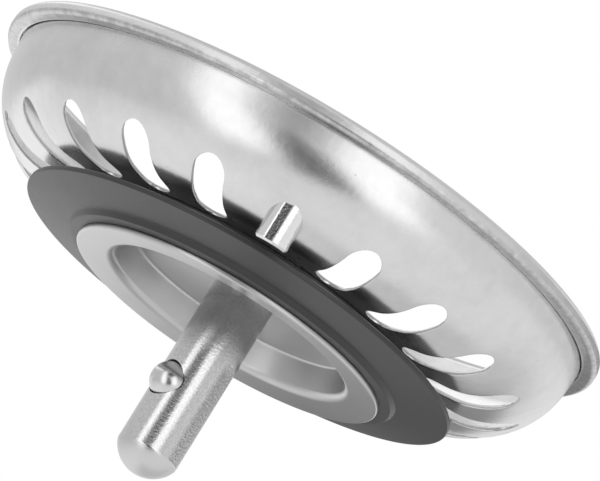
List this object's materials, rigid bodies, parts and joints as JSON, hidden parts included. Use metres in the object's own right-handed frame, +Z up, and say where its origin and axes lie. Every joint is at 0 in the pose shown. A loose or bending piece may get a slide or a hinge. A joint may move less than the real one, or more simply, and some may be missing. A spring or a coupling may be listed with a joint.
{
  "type": "sink strainer",
  "caption": "Round steel basket strainer for a sink drain, with radial slots, a rubber lip seal, a locating pin and a stem with a sprung ball catch.",
  "frame": {"origin": "On the strainer's axis, at the height of the seal lip's lower edge, where the strainer sits in its drain.", "axes": "+Z is up out of the drain, towards the rim and the knob, and the stem points along -Z. -Y is the side of the locating pin. +X is to the right when the pin faces the viewer."},
  "size_m": [0.082, 0.082, 0.0402],
  "materials": {
    "polished_steel": "polished stainless sheet",
    "satin_steel": "satin stainless sheet",
    "turned_steel": "drawn stainless rod",
    "bright_steel": "polished",
    "spring_steel": "drawn wire",
    "seal_rubber": "smooth moulded",
    "gasket_rubber": "flat cut sheet"
  },
  "bodies": {
    "strainer": {"basket": "polished_steel", "locating_pin": "bright_steel", "seal": "seal_rubber", "seal_retainer": "satin_steel", "stem": "turned_steel", "catch_spring": "spring_steel", "knob_gasket": "gasket_rubber", "pull_knob": "bright_steel"},
    "ball": {"catch_ball": "bright_steel"}
  },
  "joints": [
    {"name": "ball_press", "type": "slide", "parent": "strainer", "child": "ball", "axis": [-0.766, -0.6428, 0], "range_m": [-0.00128, 0], "stiffness_N_per_m": 2000, "springref_m": 0.0006, "deforming": ["catch_spring"]}
  ]
}
